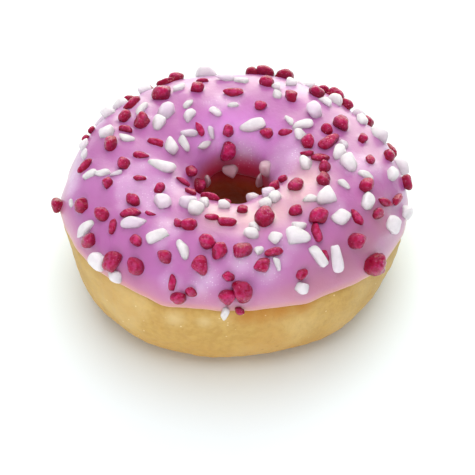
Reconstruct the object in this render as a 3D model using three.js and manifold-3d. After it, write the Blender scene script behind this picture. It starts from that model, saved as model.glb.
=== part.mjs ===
// An iced mini ring doughnut: a browned dough ring with a flat foot, a coat of icing over its upper
// half, and red and white nuggets set into the icing. Millimetres, +Z up, the origin under the middle
// of the ring, on the surface that it rests on.
//
// Two angles name a place on the ring. "around" goes round it: 0 at +X, 90 at +Y. "across" goes
// round its tube: 0 at the outer girth, 90 at the crest, 180 at the waist of the hole.
import * as THREE from "three";
import { mergeVertices } from "three/addons/utils/BufferGeometryUtils.js";
import Module from "manifold-3d";

// Driving dimensions of the ring
const OUTER_DIAMETER = 60;
const HOLE_DIAMETER = 13.2;
const GIRTH_HEIGHT = 15.2;
const CREST_HEIGHT = 25.7;
const FOOT_DROP = 0.8;

// How square each quarter of the tube's section is: 2 is an ellipse, more is squarer
const SQUARENESS = { outerTop: 2.1, innerTop: 3.0, innerFoot: 2.2, outerFoot: 2.8 };

// Slow unevenness, as terms of [waves round the ring, swing, where it peaks in degrees]
const PLAN_WAVES = [[2, 0.032, 9], [3, 0.01, -45]];
const CREST_WAVES = [[1, 0.3, 20], [3, 0.2, 70]];

// A fine swell that winds round the ring and its tube: its height, its waves each way and its peak
const SWELL = { height: 0.16, around: 5, across: 2, peak: 40 };

// The icing: where its edges lie across the tube, in degrees, and how thick it is
const OUTER_EDGE = 4.5;
const OUTER_EDGE_WAVES = [[1, 3.6, 236], [2, 5.5, 180], [5, 0.9, 40], [9, 1.2, 250]];
const EDGE_RISE = { height: 8.5, peak: -158, power: 24 };
const INNER_EDGE = 176;
const INNER_EDGE_WAVES = [[2, 2.5, 60], [5, 1.5, 10]];
const ICING_THICKNESS = 1.2;
const EDGE_LIP = 0.45;
const GAP = 0.3;
const TAPER = { start: -12, end: 24 };

// Where the dough's section starts, in degrees across the tube: the middle of its foot
const FOOT = -90;

// Mesh fineness
const STEPS_AROUND = 54;
const DOUGH_STEPS = 26;
const ICING_TOP_STEPS = 14;
const ICING_UNDER_STEPS = 11;

// Nuggets: their width and height as shares of their length, how deep they sit, how uneven their
// corners are, how many are fused on, and how far past the gap they stay off the dough
const STOUT = { width: 0.84, height: 0.82 };
const SLIM = { width: 0.46, height: 0.45 };
const SUNK = 0.3;
const SHAPE_ROUGHNESS = 0.16;
const SHAPE_SEED = 7;
const NUGGETS_FUSED = 172;
const CLEARANCE = 0.08;

// The nuggets that catch the eye, as [around, across, length, turn]. With a turn of 0, or none given,
// a nugget lies along the ring, and with 90 across it. They cover the side that a viewer in front sees,
// and the rest are scattered over the side that is turned away, by the rule in scatter().
const RED_STOUT = [
  [-102, 76, 3.1], [-96, 68, 3.2, 90], [-103, 55, 3.5, 90], [-86, 69, 3.4], [-79, 54, 3.1], [-92, 47, 2.2],
  [-87, 33, 4.2, 90], [-92, 29, 3.3], [-88, 16, 1.7], [-109, 24, 2.8], [-105, 31, 2.2], [-118, 56, 2.7],
  [-132, 59, 2.3], [-127, 39, 3.4, -30], [-135, 34, 3.7, 90], [-148, 33, 2.9, 80], [-152, 56, 2.9],
  [-163, 43, 3.1], [-173, 15, 3.1], [-166, 71, 2.3], [-177, 86, 2.8], [169, 71, 3.0], [-150, 83, 2.6],
  [-115, 91, 2.7], [-121, 90, 1.9], [-83, 117, 2.0], [-70, 101, 3.9, 40], [-51, 96, 2.4], [-45, 79, 3.6],
  [-39, 44, 3.4], [-65, 39, 2.2], [-37, 15, 4.7], [-24, 45, 2.3], [-16, 65, 3.0], [0, 22, 3.0],
  [14, 64, 2.2], [0, 64, 2.1], [7, 42, 2.6], [-9, 101, 2.6], [-20, 98, 2.8], [15, 112, 2.8], [24, 76, 3.5],
  [22, 92, 2.2], [52, 129, 2.5], [56, 86, 2.7], [73, 73, 2.8], [96, 133, 2.5, 90], [98, 149, 3.6, 90],
  [110, 83, 2.7], [128, 75, 3.9], [149, 66, 2.7], [150, 86, 3.5], [-32, 115, 2.9], [-152, 108, 2.3, 90],
  [-178, 160, 3.2], [178, 143, 2.6], [-101, 145, 2.0], [-38, 132, 2.3], [-22, 132, 1.9], [49, 65, 3.2],
  [70, 107, 2.3], [40, 40, 2.8], [46, 40, 3.6], [31, 30, 2.6], [77, 41, 3.6], [69, 41, 3.6], [82, 41, 2.8],
  [113, 41, 3.1], [52, 40, 2.6], [160, 34, 1.8], [156, 37, 1.6],
];
const RED_SLIM = [
  [-73, 64, 3.3, 0], [-112, 36, 2.9, 90], [-94, 100, 3.4, 0], [-104, 104, 2.6, 0], [-116, 132, 3.7, 0],
  [-157, 131, 2.9, 40], [-138, 129, 2.5, 0], [-144, 56, 2.9, 130], [-144, 74, 3.8, 55], [-51, 68, 3.9, 65],
  [-32, 58, 3.3, 70], [-53, 47, 2.1, 90], [-17, 44, 3.3, 120], [-11, 32, 3.5, -10], [12, 95, 4.8, -60],
  [-1, 105, 3.4, 85], [5, 115, 2.5, 80], [36, 121, 2.8, 45], [90, 93, 3.9, 0], [125, 126, 2.9, 85],
  [105, 69, 2.4, -10], [139, 58, 4.1, 0], [157, 77, 2.8, 90], [163, 108, 3.1, 80], [177, 100, 3.0, 90],
  [179, 51, 3.5, 130], [-164, 97, 2.4, 75], [21, 9, 4.0, 0], [-138, 86, 2.1, 30], [119, 48, 3.7, 0],
];
const WHITE_STOUT = [
  [-127, 114, 2.9], [-117, 109, 2.9], [-98, 122, 2.2], [-63, 140, 2.4], [-52, 128, 2.6], [-53, 119, 2.6],
  [-140, 102, 3.3], [-81, 85, 2.5], [-78, 93, 2.0], [-70, 76, 2.5], [-79, 67, 1.7], [-60, 72, 4.0],
  [-56, 80, 2.6], [-66, 28, 2.5], [-140, 26, 3.2], [-132, 23, 2.6], [-33, 86, 3.6], [-37, 67, 3.2],
  [-23, 58, 3.1], [-6, 116, 2.7], [24, 114, 2.4], [3, 89, 3.0], [38, 89, 3.3], [-3, 43, 2.6],
  [23, 152, 2.8], [95, 169, 3.0], [125, 111, 2.5], [105, 116, 2.2], [136, 96, 3.3], [147, 100, 2.8],
  [160, 62, 3.0], [10, 83, 2.0], [-5, 82, 3.7], [19, 42, 3.7], [161, 121, 3.2], [10, 16, 3.6],
  [-11, 15, 2.9], [-115, 119, 2.2], [-63, 116, 2.5], [41, 55, 3.0], [27, 51, 2.4], [139, 38, 3.0],
  [146, 40, 3.2], [165, 41, 2.3], [101, 41, 4.0], [-22, 28, 3.3, 45], [62, 64, 2.2],
  [67, 77, 1.9], [64, 88, 1.9], [57, 47, 2.0], [33, 40, 2.8], [127, 39, 2.6],
];
const WHITE_SLIM = [
  [-112, 67, 4.0, 125], [-73, 53, 2.5, 85], [-93, 13, 2.7, 70], [-153, 36, 4.0, 85], [-139, 70, 4.5, 45],
  [-125, 70, 4.0, 45], [-56, 49, 4.2, 105], [-50, 40, 4.8, 70], [-38, 97, 2.8, -50], [-10, 67, 3.1, 80],
  [-20, 81, 2.6, 60], [32, 107, 3.9, 60], [41, 70, 3.2, 0], [70, 127, 4.9, 20], [115, 132, 2.6, 80],
  [130, 139, 2.9, 5], [137, 124, 3.3, -35], [150, 128, 3.4, 70], [-174, 116, 5.1, 60], [-175, 57, 2.9, 95],
  [-173, 68, 2.9, 90], [-171, 79, 2.3, 90], [164, 83, 3.2, 80], [118, 76, 2.9, 10], [120, 99, 2.7, 30],
  [94, 69, 3.6, 0], [86, 74, 2.9, 0], [90, 109, 2.2, 0], [43, 111, 2.6, 0], [142, 76, 3.4, 0],
  [144, 172, 2.7, 90], [38, 172, 3.2, 90], [171, 46, 2.5, 0], [-168, 32, 1.8, 0],
];

// The scattered nuggets: where they may lie, how far apart, and how long they are. The viewer's
// elevation is in degrees, and a place is turned away where its slope's cosine to the view is less.
const SCATTER_ACROSS = { from: 16, to: 166 };
const VIEWER_ELEVATION = 46;
const TURNED_AWAY = -0.1;
const SPACING = { slope: 3.8, top: 3, hole: 3.8 };
const SLOPE_ENDS = 58;
const HOLE_STARTS = 136;
const SCATTER_LENGTH = { least: 2, spread: 2.4 };
const RED_SHARE = 0.5;
const SCATTER_TRIES = 6000;
const SCATTER_SEED = 31;

// Colours and finishes
const DOUGH_FINISH = { color: 0xcfa866, roughness: 0.62, metalness: 0 };
const ICING_FINISH = { color: 0xc98ac6, roughness: 0.38, metalness: 0 };

const RING_RADIUS = (OUTER_DIAMETER + HOLE_DIAMETER) / 4;
const HALF_WIDTH = (OUTER_DIAMETER - HOLE_DIAMETER) / 4;

const radians = THREE.MathUtils.degToRad;

/** Adds up terms of [waves round the ring, swing, peak] at one place round the ring. */
function wave(terms, around) {
  const heights = terms.map(([count, swing, peak]) => swing * Math.cos(radians(count * around - peak)));
  return heights.reduce((sum, height) => sum + height);
}

/** Seeded draws from 0 to 1 by the mulberry32 rule, the same on every run. */
function drawsFrom(seed) {
  let state = seed >>> 0;
  return () => {
    state = (state + 0x6d2b79f5) >>> 0;
    let mixed = Math.imul(state ^ (state >>> 15), state | 1);
    mixed ^= mixed + Math.imul(mixed ^ (mixed >>> 7), mixed | 61);
    return ((mixed ^ (mixed >>> 14)) >>> 0) / 4294967296;
  };
}

/** The section's place at an angle across the tube, with the direction that points out of it. */
function section(across) {
  const c = Math.cos(radians(across));
  const s = Math.sin(radians(across));
  const outer = c >= 0;
  const upper = s >= 0;
  const topPower = outer ? SQUARENESS.outerTop : SQUARENESS.innerTop;
  const footPower = outer ? SQUARENESS.outerFoot : SQUARENESS.innerFoot;
  const power = upper ? topPower : footPower;
  const half = upper ? CREST_HEIGHT - GIRTH_HEIGHT : GIRTH_HEIGHT + FOOT_DROP;
  const reach = (Math.abs(c) ** power + Math.abs(s) ** power) ** (-1 / power);
  const out = new THREE.Vector2(
    (Math.sign(c) * Math.abs(reach * c) ** (power - 1)) / HALF_WIDTH,
    (Math.sign(s) * Math.abs(reach * s) ** (power - 1)) / half,
  ).normalize();
  return { radius: RING_RADIUS + HALF_WIDTH * reach * c, height: GIRTH_HEIGHT + half * reach * s, out };
}

/** A point of the ring's outer form, moved outwards by some millimetres. */
function formPoint(around, across, outwards) {
  const { radius, height, out } = section(across);
  const winding = SWELL.around * around + SWELL.across * across - SWELL.peak;
  const swell = SWELL.height * Math.cos(radians(winding)) + outwards;
  const fullness = (radius - RING_RADIUS + HALF_WIDTH) / (2 * HALF_WIDTH);
  const widened = (radius + swell * out.x) * (1 + fullness * wave(PLAN_WAVES, around));
  const rise = Math.max(0, (height - GIRTH_HEIGHT) / (CREST_HEIGHT - GIRTH_HEIGHT));
  const z = height + swell * out.y + rise ** 2 * wave(CREST_WAVES, around);
  const turn = radians(around);
  return new THREE.Vector3(widened * Math.cos(turn), widened * Math.sin(turn), Math.max(0, z));
}

/** The icing's outer edge, which rises in a smooth hump where less of the icing ran down. */
function outerEdge(around) {
  const nearness = Math.abs(Math.cos(radians(around - EDGE_RISE.peak) / 2));
  return OUTER_EDGE + EDGE_RISE.height * nearness ** EDGE_RISE.power + wave(OUTER_EDGE_WAVES, around);
}

const innerEdge = (around) => INNER_EDGE + wave(INNER_EDGE_WAVES, around);

/** How far a place lies inside the icing's nearer edge, in degrees across the tube. */
function insideEdge(around, across) {
  return Math.min(across - outerEdge(around), innerEdge(around) - across);
}

/** The dough's depth below the outer form: none on the bare flank, and room for the icing above it. */
function doughDepth(around, across) {
  const cover = THREE.MathUtils.smoothstep(insideEdge(around, across), TAPER.start, TAPER.end);
  return (ICING_THICKNESS + GAP) * cover;
}

/** The icing's height above the outer form: a low rounded lip that fades away from its edge. */
function icingLip(around, across) {
  return EDGE_LIP * (1 - THREE.MathUtils.smoothstep(insideEdge(around, across), 0, TAPER.end));
}

/** A closed ring: a torus whose points are moved to place(around, share of the way round its section). */
function ringGeometry(stepsAcross, place) {
  const geometry = new THREE.TorusGeometry(RING_RADIUS, HALF_WIDTH, stepsAcross, STEPS_AROUND);
  const { position, uv } = geometry.attributes;
  for (let i = 0; i < position.count; i++) {
    const spot = place((uv.getX(i) % 1) * 360, uv.getY(i) % 1);
    position.setXYZ(i, spot.x, spot.y, spot.z);
  }
  return joined(geometry);
}

/** The geometry with its shared corners merged. */
function joined(geometry) {
  geometry.deleteAttribute("normal");
  geometry.deleteAttribute("uv");
  return mergeVertices(geometry);
}

/** The dough ring, grown by some millimetres. */
function doughGeometry(growth) {
  return ringGeometry(DOUGH_STEPS, (around, share) => {
    const across = FOOT + share * 360;
    return formPoint(around, across, growth - doughDepth(around, across));
  });
}

/** The bare coat of icing: over the top from edge to edge, and back along its underside. */
function icingGeometry() {
  const steps = ICING_TOP_STEPS + ICING_UNDER_STEPS;
  return ringGeometry(steps, (around, share) => {
    const step = Math.round(share * steps);
    const onTop = step <= ICING_TOP_STEPS;
    const along = onTop ? step / ICING_TOP_STEPS : (steps - step) / ICING_UNDER_STEPS;
    const across = THREE.MathUtils.lerp(outerEdge(around), innerEdge(around), along);
    const outwards = onTop ? icingLip(around, across) : GAP - doughDepth(around, across);
    return formPoint(around, across, outwards);
  });
}

/** Unit directions along the ring, across the tube and out of the form, at one place on it. */
function axesAt(around, across) {
  const alongRing = formPoint(around + 1, across, 0).sub(formPoint(around - 1, across, 0)).normalize();
  const acrossTube = formPoint(around, across + 1, 0).sub(formPoint(around, across - 1, 0)).normalize();
  const up = alongRing.clone().cross(acrossTube).normalize();
  acrossTube.crossVectors(up, alongRing);
  return { alongRing, acrossTube, up };
}

/** Whether a place faces away from a viewer in front of the ring. */
function turnedAway(around, across) {
  const elevation = radians(VIEWER_ELEVATION);
  const viewer = new THREE.Vector3(0, -Math.cos(elevation), Math.sin(elevation));
  return axesAt(around, across).up.dot(viewer) < TURNED_AWAY;
}

/** The nuggets' places: the named ones first, then seeded ones that keep clear of those before them. */
function scatter() {
  const named = (rows, shape) =>
    rows.map(([around, across, length, turn = 0]) => ({ around, across, length, turn, shape }));
  const nuggets = [
    ...named(RED_STOUT, STOUT),
    ...named(RED_SLIM, SLIM),
    ...named(WHITE_STOUT, STOUT),
    ...named(WHITE_SLIM, SLIM),
  ];
  const spots = nuggets.map(({ around, across }) => formPoint(around, across, 0));
  const draw = drawsFrom(SCATTER_SEED);
  for (let i = 0; i < SCATTER_TRIES; i++) {
    const around = draw() * 360 - 180;
    const across = THREE.MathUtils.lerp(SCATTER_ACROSS.from, SCATTER_ACROSS.to, draw());
    const length = SCATTER_LENGTH.least + SCATTER_LENGTH.spread * draw() * draw();
    const turn = draw() * 180;
    const red = draw() < RED_SHARE;
    const spot = formPoint(around, across, 0);
    const clear = spots.every((other) => other.distanceTo(spot) > spacingAt(across));
    if (clear && turnedAway(around, across)) {
      nuggets.push({ around, across, length, turn, shape: red ? STOUT : SLIM });
      spots.push(spot);
    }
  }
  return nuggets;
}

/** The least distance between scattered nuggets at an angle across the tube. */
function spacingAt(across) {
  if (across < SLOPE_ENDS) {
    return SPACING.slope;
  }
  return across > HOLE_STARTS ? SPACING.hole : SPACING.top;
}

/** A lumpy nugget, lying on the icing with its base sunk in. */
function nuggetGeometry({ around, across, length, turn, shape }, draw) {
  const geometry = joined(new THREE.IcosahedronGeometry(1, 0));
  const { position } = geometry.attributes;
  const size = new THREE.Vector3(1, shape.width, shape.height).multiplyScalar(length / 2);
  const corner = new THREE.Vector3();
  for (let i = 0; i < position.count; i++) {
    corner.fromBufferAttribute(position, i).multiplyScalar(1 + SHAPE_ROUGHNESS * (draw() - 0.5));
    position.setXYZ(i, corner.x * size.x, corner.y * size.y, corner.z * size.z);
  }
  const here = formPoint(around, across, icingLip(around, across));
  const { alongRing, acrossTube, up } = axesAt(around, across);
  const lift = size.z * (1 - 2 * SUNK);
  const placed = new THREE.Matrix4().makeBasis(alongRing, acrossTube, up);
  placed.setPosition(here.addScaledVector(up, lift));
  placed.multiply(new THREE.Matrix4().makeRotationZ(radians(turn)));
  return geometry.applyMatrix4(placed);
}

const wasm = await Module();
wasm.setup();

/** The solid of a closed geometry. */
function solidOf(geometry) {
  return new wasm.Manifold(new wasm.Mesh({
    numProp: 3,
    vertProperties: new Float32Array(geometry.attributes.position.array),
    triVerts: new Uint32Array(geometry.index.array),
  }));
}

/** The geometry of a solid. */
function geometryOf(solid) {
  const { vertProperties, triVerts } = solid.getMesh();
  const geometry = new THREE.BufferGeometry();
  geometry.setAttribute("position", new THREE.BufferAttribute(new Float32Array(vertProperties), 3));
  geometry.setIndex(new THREE.BufferAttribute(new Uint32Array(triVerts), 1));
  return geometry;
}

/** The icing with its largest nuggets fused on, all clear of the dough. */
function toppedIcing() {
  const draw = drawsFrom(SHAPE_SEED);
  const largest = scatter().sort((a, b) => b.length - a.length).slice(0, NUGGETS_FUSED);
  const nuggets = largest
    .map((nugget) => solidOf(nuggetGeometry(nugget, draw)))
    .reduce((heap, nugget) => heap.add(nugget));
  const keepOut = solidOf(doughGeometry(GAP + CLEARANCE));
  return geometryOf(solidOf(icingGeometry()).add(nuggets.subtract(keepOut)));
}

/** A named mesh with its own finish. */
function namedMesh(name, geometry, finish) {
  geometry.computeVertexNormals();
  const mesh = new THREE.Mesh(geometry, new THREE.MeshStandardMaterial(finish));
  mesh.name = name;
  return mesh;
}

const doughnut = new THREE.Group();
doughnut.add(namedMesh("dough_ring", doughGeometry(0), DOUGH_FINISH));
doughnut.add(namedMesh("icing", toppedIcing(), ICING_FINISH));

export default doughnut;
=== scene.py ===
# %% [markdown]
# An iced mini ring doughnut, about 60 mm across: a fried dough ring, a coat of lilac-pink icing over its
# upper half, and some two hundred red and white nuggets pressed into the icing while it was wet.
#
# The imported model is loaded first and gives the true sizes. Everything that is made here is a surface
# worked out with numpy from the same few sizes, and takes the place of one of the model's plain solids.
# All sizes are in millimetres, and all angles are in degrees, until a mesh is made.

import bpy
import numpy as np
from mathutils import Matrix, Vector


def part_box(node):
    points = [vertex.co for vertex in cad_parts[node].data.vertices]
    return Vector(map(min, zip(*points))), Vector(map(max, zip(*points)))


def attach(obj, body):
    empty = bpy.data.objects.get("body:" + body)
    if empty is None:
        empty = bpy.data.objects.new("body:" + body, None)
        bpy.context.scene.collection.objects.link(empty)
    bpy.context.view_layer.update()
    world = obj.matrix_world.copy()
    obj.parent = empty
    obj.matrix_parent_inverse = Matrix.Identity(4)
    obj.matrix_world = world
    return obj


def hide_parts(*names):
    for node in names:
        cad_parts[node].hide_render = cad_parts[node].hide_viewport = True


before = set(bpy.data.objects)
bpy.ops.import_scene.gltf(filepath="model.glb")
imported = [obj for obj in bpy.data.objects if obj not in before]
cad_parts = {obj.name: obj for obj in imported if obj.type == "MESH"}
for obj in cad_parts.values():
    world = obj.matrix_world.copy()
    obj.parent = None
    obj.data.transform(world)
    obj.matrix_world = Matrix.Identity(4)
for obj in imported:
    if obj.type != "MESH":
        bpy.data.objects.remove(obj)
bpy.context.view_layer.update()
MM = 0.001

# %% [markdown]
# The camera. The view is a product shot: a long lens, some 46 degrees above the table, so that the ring
# shows its hole and its front flank at once. A long lens keeps the near and the far side alike in size.
# The camera could be aimed at the ring's middle and its frame then shifted. Here it is aimed a little
# lower instead, which frames the ring above the middle of the picture without any lens shift.

# %% Make the camera
IMAGE_PIXELS = 475
SENSOR_WIDTH = 36
CAMERA_ELEVATION = 45.95
CAMERA_DISTANCE = 300
PIXELS_PER_MM = 5.451
RING_MIDDLE = Vector((0, 0, 12))
AIM_RIGHT = 0.73
AIM_DOWN = 4.57


def make_camera():
    """A camera at the given elevation in front of the ring, aimed right of and below the ring's middle.

    Focal length over sensor width equals (pixels per millimetre * distance) over the picture's pixels."""
    tilt = np.radians(CAMERA_ELEVATION)
    back = Vector((0, -np.cos(tilt), np.sin(tilt)))
    picture_up = Vector((0, np.sin(tilt), np.cos(tilt)))
    place = RING_MIDDLE + CAMERA_DISTANCE * back
    aim = RING_MIDDLE + AIM_RIGHT * Vector((1, 0, 0)) - AIM_DOWN * picture_up
    data = bpy.data.cameras.new("camera")
    data.sensor_width = SENSOR_WIDTH
    data.lens = PIXELS_PER_MM * CAMERA_DISTANCE / IMAGE_PIXELS * SENSOR_WIDTH
    data.clip_start = 10 * MM
    camera = bpy.data.objects.new("camera", data)
    camera.location = place * MM
    camera.rotation_euler = (aim - place).to_track_quat("-Z", "Y").to_euler()
    bpy.context.scene.collection.objects.link(camera)
    return camera


bpy.context.scene.camera = make_camera()
print("lens in mm:", round(bpy.context.scene.camera.data.lens, 1))

# %% [markdown]
# The ring's form. A torus is a function of two angles, and a doughnut is a torus whose section isn't a
# circle: it is full and round on top, steep in the hole, and squashed flat where it lay in the fryer.
# One way would be to sculpt a torus by hand. A formula is better here, because the dough, the icing and
# every nugget can then ask it for their place. "around" goes round the ring, 0 at +X and 90 at +Y.
# "across" goes round the tube, 0 at the outer girth, 90 at the crest and 180 at the waist of the hole.

# %% Sizes of the ring
OUTER_DIAMETER = 60
HOLE_DIAMETER = 13.2
GIRTH_HEIGHT = 15.2
CREST_HEIGHT = 25.7
FOOT_DROP = 0.8
RING_RADIUS = (OUTER_DIAMETER + HOLE_DIAMETER) / 4
HALF_WIDTH = (OUTER_DIAMETER - HOLE_DIAMETER) / 4
SQUARENESS = {"outer_top": 2.1, "inner_top": 3.0, "inner_foot": 2.2, "outer_foot": 2.8}

# Slow unevenness, as terms of (waves round the ring, swing, where it peaks in degrees)
PLAN_WAVES = [(2, 0.032, 9), (3, 0.01, -45)]
CREST_WAVES = [(1, 0.3, 20), (3, 0.2, 70)]
SWELL = {"height": 0.16, "around": 5, "across": 2, "peak": 40}

# %% The form as a function of the two angles


def wave(terms, around):
    """The sum, over its terms, of swing * cos(waves * around - peak)."""
    return sum(swing * np.cos(np.radians(count * around - peak)) for count, swing, peak in terms)


def smoothstep(value, start, end):
    """0 before start, 1 after end, and 3s^2 - 2s^3 between them, where s is the share of the way."""
    share = np.clip((value - start) / (end - start), 0, 1)
    return share * share * (3 - 2 * share)


def section(across):
    """Radius, height and outward direction of the tube's section.

    Each quarter is a superellipse: |x / half width|^p + |z / half height|^p = 1, with its own p."""
    c = np.cos(np.radians(across))
    s = np.sin(np.radians(across))
    top_power = np.where(c >= 0, SQUARENESS["outer_top"], SQUARENESS["inner_top"])
    foot_power = np.where(c >= 0, SQUARENESS["outer_foot"], SQUARENESS["inner_foot"])
    power = np.where(s >= 0, top_power, foot_power)
    half = np.where(s >= 0, CREST_HEIGHT - GIRTH_HEIGHT, GIRTH_HEIGHT + FOOT_DROP)
    reach = (abs(c) ** power + abs(s) ** power) ** (-1 / power)
    out_x = np.sign(c) * abs(reach * c) ** (power - 1) / HALF_WIDTH
    out_z = np.sign(s) * abs(reach * s) ** (power - 1) / half
    length = np.hypot(out_x, out_z)
    radius = RING_RADIUS + HALF_WIDTH * reach * c
    return radius, GIRTH_HEIGHT + half * reach * s, out_x / length, out_z / length


def form(around, across, outwards=0.0):
    """A point of the ring's outer form, moved outwards by some millimetres.

    The section is turned round the ring's axis. Its radius swells by the plan waves, its top by the crest
    waves, and whatever would sink below the table is pressed flat on it."""
    radius, height, out_x, out_z = section(across)
    winding = SWELL["around"] * around + SWELL["across"] * across - SWELL["peak"]
    swell = SWELL["height"] * np.cos(np.radians(winding)) + outwards
    fullness = (radius - RING_RADIUS + HALF_WIDTH) / (2 * HALF_WIDTH)
    widened = (radius + swell * out_x) * (1 + fullness * wave(PLAN_WAVES, around))
    rise = np.maximum(0, (height - GIRTH_HEIGHT) / (CREST_HEIGHT - GIRTH_HEIGHT))
    z = height + swell * out_z + rise**2 * wave(CREST_WAVES, around)
    turn = np.radians(around)
    return np.stack([widened * np.cos(turn), widened * np.sin(turn), np.maximum(0, z)], axis=-1)


ring_check = form(*np.meshgrid(np.arange(-180, 180, 2.0), np.arange(-90, 0, 2.0)))
print("widest part of the form in mm:", np.round(np.ptp(ring_check.reshape(-1, 3), axis=0), 1))
dough_low, dough_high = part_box("dough_ring")
print("the solid dough ring in mm:", [round(v / MM, 1) for v in dough_high - dough_low])

# %% [markdown]
# Where the icing lies. The ring was dipped upside down into warm icing, so the coat ends at an almost
# level line round the girth, a little uneven because some of it ran, and again deep in the hole. Both
# edges are written as an angle across the tube that changes with waves round the ring. The dough lies
# deeper under the coat than beside it, so that the coat has its thickness without swelling the form.

# %% The icing's edges and the dough's level
OUTER_EDGE = 4.5
OUTER_EDGE_WAVES = [(1, 3.6, 236), (2, 5.5, 180), (5, 0.9, 40), (9, 1.2, 250)]
OUTER_EDGE_RIPPLES = [(14, 0.45, 10), (23, 0.5, 120), (37, 0.35, 300)]
EDGE_RISE = {"height": 8.5, "peak": -158, "power": 24}
INNER_EDGE = 176
INNER_EDGE_WAVES = [(2, 2.5, 60), (5, 1.5, 10)]
ICING_THICKNESS = 1.2
EDGE_LIP = 0.45
GAP = 0.3
TAPER_START = -12
TAPER_END = 24


def outer_edge(around):
    """The angle across at which the icing ends on the outside, risen where less of it ran down.

    The rise is height * |cos((around - peak) / 2)|^power, a smooth hump on one side of the ring."""
    nearness = abs(np.cos(np.radians(around - EDGE_RISE["peak"]) / 2))
    rise = EDGE_RISE["height"] * nearness ** EDGE_RISE["power"]
    return OUTER_EDGE + rise + wave(OUTER_EDGE_WAVES, around) + wave(OUTER_EDGE_RIPPLES, around)


def inner_edge(around):
    """The angle across at which the icing ends in the hole."""
    return INNER_EDGE + wave(INNER_EDGE_WAVES, around)


def inside_edge(around, across):
    """Degrees from a place to the icing's nearer edge, above 0 where there is icing."""
    return np.minimum(across - outer_edge(around), inner_edge(around) - across)


def dough_depth(around, across):
    """How far the dough lies below the outer form: a smooth step from 0 to the icing's full thickness."""
    return (ICING_THICKNESS + GAP) * smoothstep(inside_edge(around, across), TAPER_START, TAPER_END)


edge_angles = outer_edge(np.arange(-180, 180, 1.0))
print("icing ends between", np.round([edge_angles.min(), edge_angles.max()], 1), "degrees across")

# %% [markdown]
# Unevenness. No two places on real dough are alike, yet the surface has no seam, so the relief has to be
# a function of the place in space and not of the two angles. A sum of plane waves in random directions
# is such a function, smooth and easy to write for whole arrays. For pits and beads, which are round and
# lie apart, space is cut into cubes with one random point each, and the distance to the nearest is used.

# %% Two kinds of relief, as functions of the place
HASH_STRETCH = np.array([[12.9898, 39.3461, 73.156], [78.233, 11.135, 52.235], [37.719, 83.155, 9.151]])
HASH_SCALE = 43758.5453


def ripples(points, wavelength, seed, count=24):
    """A smooth relief of spread 1: a sum of plane waves with random directions, lengths and phases."""
    draw = np.random.default_rng(seed)
    directions = draw.normal(size=(count, 3))
    directions /= np.linalg.norm(directions, axis=1, keepdims=True)
    lengths = wavelength * draw.uniform(0.7, 1.4, count)
    phases = draw.uniform(0, 2 * np.pi, count)
    total = np.zeros(points.shape[:-1])
    for direction, length, phase in zip(directions, lengths, phases):
        total += np.cos(points @ direction * (2 * np.pi / length) + phase)
    return total / np.sqrt(count / 2)


def nearest_seed(points, size):
    """Distance to the nearest of many scattered seeds, as a share of the cubes' size.

    Each cube holds one seed, at the fractional parts of a sine of the cube's own coordinates."""
    scaled = points / size
    cube = np.floor(scaled)
    nearest = np.full(points.shape[:-1], np.inf)
    for step in np.ndindex(3, 3, 3):
        neighbour = cube + np.array(step) - 1
        seed = neighbour + np.modf(abs(np.sin(neighbour @ HASH_STRETCH) * HASH_SCALE))[0]
        nearest = np.minimum(nearest, np.linalg.norm(scaled - seed, axis=-1))
    return nearest


# %% Turn a grid of points into a piece


def closed_grid_faces(rows, columns):
    """Four corners for each face of a grid that closes on itself both ways."""
    corner = np.arange(rows * columns).reshape(rows, columns)
    next_row = np.roll(corner, -1, axis=0)
    beside = np.roll(corner, -1, axis=1)
    across_from = np.roll(next_row, -1, axis=1)
    return np.stack([corner, beside, across_from, next_row], axis=-1).reshape(-1, 4).tolist()


def make_piece(name, points, faces, **values):
    """A smooth-shaded mesh at the origin. Each named value is kept on the vertices for the materials."""
    mesh = bpy.data.meshes.new(name)
    mesh.from_pydata(points.reshape(-1, 3) * MM, [], faces)
    mesh.shade_smooth()
    for key, numbers in values.items():
        attribute = mesh.attributes.new(key, "FLOAT", "POINT")
        attribute.data.foreach_set("value", np.asarray(numbers, np.float32).ravel())
    piece = bpy.data.objects.new(name, mesh)
    bpy.context.scene.collection.objects.link(piece)
    print(name, len(mesh.vertices), "points,", sum(len(f) - 2 for f in faces), "triangles")
    return piece


# %% [markdown]
# The dough ring. Fried dough has a thin, tight skin: gentle swellings where it rose unevenly, a finer
# puckering, and small pits where bubbles burst. A subdivided torus with a displacement texture could
# show that, but here the relief is added to the form's outward move, so that the dough stays the size
# it should be and the icing above can follow the same swellings.

# %% The dough's skin
DOUGH_STEPS_AROUND = 600
DOUGH_STEPS_FLANK = 84
DOUGH_STEPS_COVERED = 36
BARE_FROM = -180
BARE_TO = 20
LUMPS = {"height": 0.13, "wavelength": 11, "seed": 3}
PUCKERS = {"height": 0.03, "wavelength": 2.4, "seed": 4}
PIT = {"depth": 0.16, "spacing": 1.9, "radius": 0.2}


def lumps(around, across):
    """The slow swellings that the dough and the icing share, in millimetres."""
    place = form(around, across)
    return LUMPS["height"] * ripples(place, LUMPS["wavelength"], LUMPS["seed"])


def dough_skin(around, across):
    """Points of the dough: the form, lowered under the icing, with lumps and puckers less the pits.

    A pit is a round bowl, 1 - (distance / radius)^2 deep, at each seed that lies close under the skin."""
    level = form(around, across, -dough_depth(around, across))
    puckers = PUCKERS["height"] * ripples(level, PUCKERS["wavelength"], PUCKERS["seed"])
    bowl = np.maximum(0, 1 - (nearest_seed(level, PIT["spacing"]) / PIT["radius"]) ** 2)
    relief = lumps(around, across) + puckers - PIT["depth"] * bowl
    return form(around, across, relief - dough_depth(around, across)), bowl


# This mask says where shade is painted in the hole, on the dough and on the coat.
def in_hole(across):
    """1 on the wall of the hole, fading out towards the foot, which is at 270 or -90 degrees."""
    turned = across % 360
    return smoothstep(turned, 120, 160) * (1 - smoothstep(turned, 205, 245))


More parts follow.
